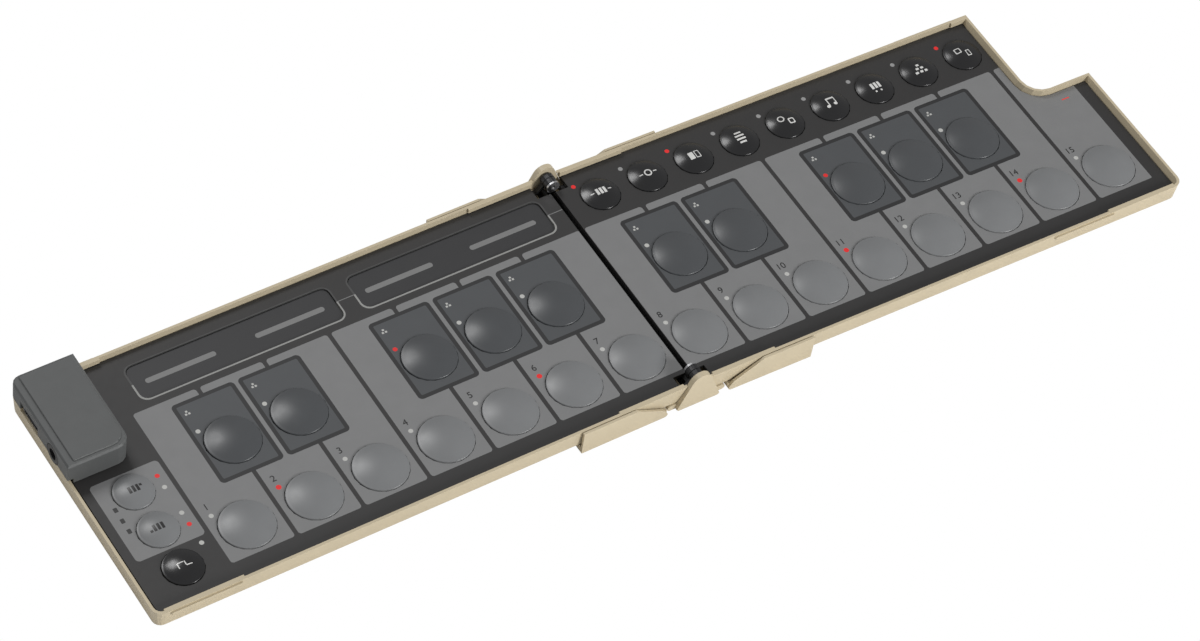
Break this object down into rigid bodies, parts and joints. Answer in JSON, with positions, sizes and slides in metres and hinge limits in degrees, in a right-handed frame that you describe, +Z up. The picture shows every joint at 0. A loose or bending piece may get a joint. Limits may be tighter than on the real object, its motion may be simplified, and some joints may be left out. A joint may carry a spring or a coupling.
{
  "type": "folding music keyboard",
  "caption": "Slim two-half music keyboard with round sprung pads, touch strips and a corner socket block, folding shut like a book on a spine hinge.",
  "frame": {"origin": "middle of the opened keyboard, on the surface it stands on, under the hinge line", "axes": "+X along the keyboard to the right, +Y from the player's side to the back, +Z up"},
  "size_m": [0.3421, 0.086, 0.0131],
  "materials": {
    "cream_plastic": "satin moulded plastic",
    "black_deck": "printed matte sheet",
    "grey_dome": "soft satin",
    "dark_dome": "soft satin",
    "black_dome": "soft satin",
    "block_grey": "fine spark texture",
    "steel": "turned",
    "black_steel": "blackened",
    "board_green": "solder resist",
    "socket_black": "moulded",
    "strip_black": "satin touch surface"
  },
  "bodies": {
    "left_half": {"left_case": "cream_plastic", "left_deck": "black_deck", "left_circuit_board": "board_green", "left_rail": "cream_plastic", "corner_block": "block_grey", "audio_jack": "socket_black", "usb_socket": "steel", "port_board": "board_green", "touch_strip_outer": "strip_black", "touch_strip_inner": "strip_black", "front_hinge_leaf_left": "black_steel", "back_hinge_leaf_left": "black_steel"},
    "right_half": {"right_case": "cream_plastic", "right_deck": "black_deck", "right_circuit_board": "board_green", "right_rail": "cream_plastic", "front_hinge_leaf_right": "black_steel", "back_hinge_leaf_right": "black_steel"},
    "spine": {"spine": "cream_plastic", "front_hinge_pin": "steel", "back_hinge_pin": "steel"},
    "key_07_body": {"key_07": "grey_dome"},
    "key_06_body": {"key_06": "grey_dome"},
    "key_05_body": {"key_05": "grey_dome"},
    "key_04_body": {"key_04": "grey_dome"},
    "key_03_body": {"key_03": "grey_dome"},
    "key_02_body": {"key_02": "grey_dome"},
    "key_01_body": {"key_01": "grey_dome"},
    "key_08_body": {"key_08": "grey_dome"},
    "key_09_body": {"key_09": "grey_dome"},
    "key_10_body": {"key_10": "grey_dome"},
    "key_11_body": {"key_11": "grey_dome"},
    "key_12_body": {"key_12": "grey_dome"},
    "key_13_body": {"key_13": "grey_dome"},
    "key_14_body": {"key_14": "grey_dome"},
    "key_15_body": {"key_15": "grey_dome"},
    "back_key_01_body": {"back_key_01": "dark_dome"},
    "back_key_02_body": {"back_key_02": "dark_dome"},
    "back_key_04_body": {"back_key_04": "dark_dome"},
    "back_key_05_body": {"back_key_05": "dark_dome"},
    "back_key_06_body": {"back_key_06": "dark_dome"},
    "back_key_08_body": {"back_key_08": "dark_dome"},
    "back_key_09_body": {"back_key_09": "dark_dome"},
    "back_key_11_body": {"back_key_11": "dark_dome"},
    "back_key_12_body": {"back_key_12": "dark_dome"},
    "back_key_13_body": {"back_key_13": "dark_dome"},
    "function_button_1_body": {"function_button_1": "black_dome"},
    "function_button_2_body": {"function_button_2": "black_dome"},
    "function_button_3_body": {"function_button_3": "black_dome"},
    "function_button_4_body": {"function_button_4": "black_dome"},
    "function_button_5_body": {"function_button_5": "black_dome"},
    "function_button_6_body": {"function_button_6": "black_dome"},
    "function_button_7_body": {"function_button_7": "black_dome"},
    "function_button_8_body": {"function_button_8": "black_dome"},
    "function_button_9_body": {"function_button_9": "black_dome"},
    "semitone_up_button_body": {"semitone_up_button": "grey_dome"},
    "semitone_down_button_body": {"semitone_down_button": "grey_dome"},
    "sustain_button_body": {"sustain_button": "black_dome"}
  },
  "joints": [
    {"name": "fold", "type": "hinge", "parent": "left_half", "child": "right_half", "pos_m": [0, 0, 0.00954], "axis": [0, -1, 0], "range_deg": [0, 182.04]},
    {"name": "spine_turn", "type": "hinge", "parent": "left_half", "child": "spine", "pos_m": [0, 0, 0.00954], "axis": [0, -1, 0], "range_deg": [0, 91.03]},
    {"name": "key_07_press", "type": "slide", "parent": "left_half", "child": "key_07_body", "axis": [0.0178, 0, -0.9998], "range_m": [0, 0.0007], "stiffness_N_per_m": 400},
    {"name": "key_06_press", "type": "slide", "parent": "left_half", "child": "key_06_body", "axis": [0.0178, 0, -0.9998], "range_m": [0, 0.0007], "stiffness_N_per_m": 400},
    {"name": "key_05_press", "type": "slide", "parent": "left_half", "child": "key_05_body", "axis": [0.0178, 0, -0.9998], "range_m": [0, 0.0007], "stiffness_N_per_m": 400},
    {"name": "key_04_press", "type": "slide", "parent": "left_half", "child": "key_04_body", "axis": [0.0178, 0, -0.9998], "range_m": [0, 0.0007], "stiffness_N_per_m": 400},
    {"name": "key_03_press", "type": "slide", "parent": "left_half", "child": "key_03_body", "axis": [0.0178, 0, -0.9998], "range_m": [0, 0.0007], "stiffness_N_per_m": 400},
    {"name": "key_02_press", "type": "slide", "parent": "left_half", "child": "key_02_body", "axis": [0.0178, 0, -0.9998], "range_m": [0, 0.0007], "stiffness_N_per_m": 400},
    {"name": "key_01_press", "type": "slide", "parent": "left_half", "child": "key_01_body", "axis": [0.0178, 0, -0.9998], "range_m": [0, 0.0007], "stiffness_N_per_m": 400},
    {"name": "key_08_press", "type": "slide", "parent": "right_half", "child": "key_08_body", "axis": [-0.0178, 0, -0.9998], "range_m": [0, 0.0007], "stiffness_N_per_m": 400},
    {"name": "key_09_press", "type": "slide", "parent": "right_half", "child": "key_09_body", "axis": [-0.0178, 0, -0.9998], "range_m": [0, 0.0007], "stiffness_N_per_m": 400},
    {"name": "key_10_press", "type": "slide", "parent": "right_half", "child": "key_10_body", "axis": [-0.0178, 0, -0.9998], "range_m": [0, 0.0007], "stiffness_N_per_m": 400},
    {"name": "key_11_press", "type": "slide", "parent": "right_half", "child": "key_11_body", "axis": [-0.0178, 0, -0.9998], "range_m": [0, 0.0007], "stiffness_N_per_m": 400},
    {"name": "key_12_press", "type": "slide", "parent": "right_half", "child": "key_12_body", "axis": [-0.0178, 0, -0.9998], "range_m": [0, 0.0007], "stiffness_N_per_m": 400},
    {"name": "key_13_press", "type": "slide", "parent": "right_half", "child": "key_13_body", "axis": [-0.0178, 0, -0.9998], "range_m": [0, 0.0007], "stiffness_N_per_m": 400},
    {"name": "key_14_press", "type": "slide", "parent": "right_half", "child": "key_14_body", "axis": [-0.0178, 0, -0.9998], "range_m": [0, 0.0007], "stiffness_N_per_m": 400},
    {"name": "key_15_press", "type": "slide", "parent": "right_half", "child": "key_15_body", "axis": [-0.0178, 0, -0.9998], "range_m": [0, 0.0007], "stiffness_N_per_m": 400},
    {"name": "back_key_01_press", "type": "slide", "parent": "left_half", "child": "back_key_01_body", "axis": [0.0178, 0, -0.9998], "range_m": [0, 0.0007], "stiffness_N_per_m": 400},
    {"name": "back_key_02_press", "type": "slide", "parent": "left_half", "child": "back_key_02_body", "axis": [0.0178, 0, -0.9998], "range_m": [0, 0.0007], "stiffness_N_per_m": 400},
    {"name": "back_key_04_press", "type": "slide", "parent": "left_half", "child": "back_key_04_body", "axis": [0.0178, 0, -0.9998], "range_m": [0, 0.0007], "stiffness_N_per_m": 400},
    {"name": "back_key_05_press", "type": "slide", "parent": "left_half", "child": "back_key_05_body", "axis": [0.0178, 0, -0.9998], "range_m": [0, 0.0007], "stiffness_N_per_m": 400},
    {"name": "back_key_06_press", "type": "slide", "parent": "left_half", "child": "back_key_06_body", "axis": [0.0178, 0, -0.9998], "range_m": [0, 0.0007], "stiffness_N_per_m": 400},
    {"name": "back_key_08_press", "type": "slide", "parent": "right_half", "child": "back_key_08_body", "axis": [-0.0178, 0, -0.9998], "range_m": [0, 0.0007], "stiffness_N_per_m": 400},
    {"name": "back_key_09_press", "type": "slide", "parent": "right_half", "child": "back_key_09_body", "axis": [-0.0178, 0, -0.9998], "range_m": [0, 0.0007], "stiffness_N_per_m": 400},
    {"name": "back_key_11_press", "type": "slide", "parent": "right_half", "child": "back_key_11_body", "axis": [-0.0178, 0, -0.9998], "range_m": [0, 0.0007], "stiffness_N_per_m": 400},
    {"name": "back_key_12_press", "type": "slide", "parent": "right_half", "child": "back_key_12_body", "axis": [-0.0178, 0, -0.9998], "range_m": [0, 0.0007], "stiffness_N_per_m": 400},
    {"name": "back_key_13_press", "type": "slide", "parent": "right_half", "child": "back_key_13_body", "axis": [-0.0178, 0, -0.9998], "range_m": [0, 0.0007], "stiffness_N_per_m": 400},
    {"name": "function_button_1_press", "type": "slide", "parent": "right_half", "child": "function_button_1_body", "axis": [-0.0178, 0, -0.9998], "range_m": [0, 0.0007], "stiffness_N_per_m": 400},
    {"name": "function_button_2_press", "type": "slide", "parent": "right_half", "child": "function_button_2_body", "axis": [-0.0178, 0, -0.9998], "range_m": [0, 0.0007], "stiffness_N_per_m": 400},
    {"name": "function_button_3_press", "type": "slide", "parent": "right_half", "child": "function_button_3_body", "axis": [-0.0178, 0, -0.9998], "range_m": [0, 0.0007], "stiffness_N_per_m": 400},
    {"name": "function_button_4_press", "type": "slide", "parent": "right_half", "child": "function_button_4_body", "axis": [-0.0178, 0, -0.9998], "range_m": [0, 0.0007], "stiffness_N_per_m": 400},
    {"name": "function_button_5_press", "type": "slide", "parent": "right_half", "child": "function_button_5_body", "axis": [-0.0178, 0, -0.9998], "range_m": [0, 0.0007], "stiffness_N_per_m": 400},
    {"name": "function_button_6_press", "type": "slide", "parent": "right_half", "child": "function_button_6_body", "axis": [-0.0178, 0, -0.9998], "range_m": [0, 0.0007], "stiffness_N_per_m": 400},
    {"name": "function_button_7_press", "type": "slide", "parent": "right_half", "child": "function_button_7_body", "axis": [-0.0178, 0, -0.9998], "range_m": [0, 0.0007], "stiffness_N_per_m": 400},
    {"name": "function_button_8_press", "type": "slide", "parent": "right_half", "child": "function_button_8_body", "axis": [-0.0178, 0, -0.9998], "range_m": [0, 0.0007], "stiffness_N_per_m": 400},
    {"name": "function_button_9_press", "type": "slide", "parent": "right_half", "child": "function_button_9_body", "axis": [-0.0178, 0, -0.9998], "range_m": [0, 0.0007], "stiffness_N_per_m": 400},
    {"name": "semitone_up_button_press", "type": "slide", "parent": "left_half", "child": "semitone_up_button_body", "axis": [0.0178, 0, -0.9998], "range_m": [0, 0.0007], "stiffness_N_per_m": 400},
    {"name": "semitone_down_button_press", "type": "slide", "parent": "left_half", "child": "semitone_down_button_body", "axis": [0.0178, 0, -0.9998], "range_m": [0, 0.0007], "stiffness_N_per_m": 400},
    {"name": "sustain_button_press", "type": "slide", "parent": "left_half", "child": "sustain_button_body", "axis": [0.0178, 0, -0.9998], "range_m": [0, 0.0007], "stiffness_N_per_m": 400}
  ],
  "couplings": [
    {"joint": "spine_turn", "follows": "fold", "ratio": 0.5}
  ]
}
